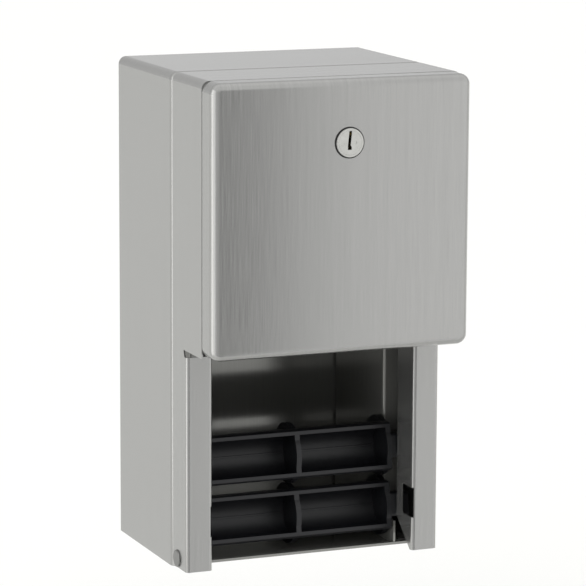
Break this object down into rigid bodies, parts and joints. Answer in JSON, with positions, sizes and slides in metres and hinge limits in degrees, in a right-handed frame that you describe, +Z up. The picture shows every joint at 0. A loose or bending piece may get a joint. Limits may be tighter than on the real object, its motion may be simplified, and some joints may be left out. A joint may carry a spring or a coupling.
{
  "type": "toilet paper dispenser",
  "caption": "Wall-mounted satin steel toilet paper dispenser: open-fronted cabinet, forward-tipping door with a cam lock, and black moulded spindles that ride in upright tracks.",
  "frame": {"origin": "centre of the four wall holes, on the wall plane", "axes": "+X to the right seen from the front, +Y into the wall, +Z up"},
  "size_m": [0.1552, 0.1511, 0.2794],
  "materials": {
    "satin_steel": "satin, upright grain",
    "mill_steel": "mill finish",
    "rivet_steel": "plain",
    "white_nylon": "matt",
    "nickel_plate": "satin plated",
    "zinc_plate": "zinc plated",
    "wafer_brass": "stamped",
    "black_rubber": "matt",
    "black_abs": "moulded satin"
  },
  "bodies": {
    "cabinet": {"cabinet_wrap": "satin_steel", "back_plate": "mill_steel", "floor_pan": "mill_steel", "roll_guide_left": "mill_steel", "roll_guide_right": "mill_steel", "hinge_bracket_left": "mill_steel", "hinge_bracket_right": "mill_steel", "hinge_rivets": "rivet_steel", "hinge_washers": "white_nylon", "lock_keeper": "mill_steel"},
    "door": {"door_frame": "satin_steel", "door_pan": "satin_steel", "lock_barrel": "nickel_plate", "lock_seal": "black_rubber", "lock_washer": "zinc_plate", "lock_nut": "zinc_plate"},
    "lock": {"lock_plug": "nickel_plate", "lock_wafers": "wafer_brass", "lock_cam": "zinc_plate", "cam_screw": "zinc_plate"},
    "lower_spindle": {"lower_spindle": "black_abs"},
    "upper_spindle": {"upper_spindle": "black_abs"}
  },
  "joints": [
    {"name": "door_hinge", "type": "hinge", "parent": "cabinet", "child": "door", "pos_m": [0, -0.096, -0.1329], "axis": [1, 0, 0], "range_deg": [0, 95]},
    {"name": "lock_turn", "type": "hinge", "parent": "door", "child": "lock", "pos_m": [0.0032, -0.15, 0.1049], "axis": [0, 1, 0], "range_deg": [0, 90]},
    {"name": "upper_spindle_lift", "type": "slide", "parent": "cabinet", "child": "upper_spindle", "axis": [0, 0, 1], "range_m": [0, 0.143]},
    {"name": "lower_spindle_lift", "type": "slide", "parent": "cabinet", "child": "lower_spindle", "axis": [0, 0, 1], "range_m": [0, 0.045]}
  ],
  "couplings": [
    {"joint": "lower_spindle_lift", "follows": "upper_spindle_lift", "ratio": 0.3146}
  ]
}
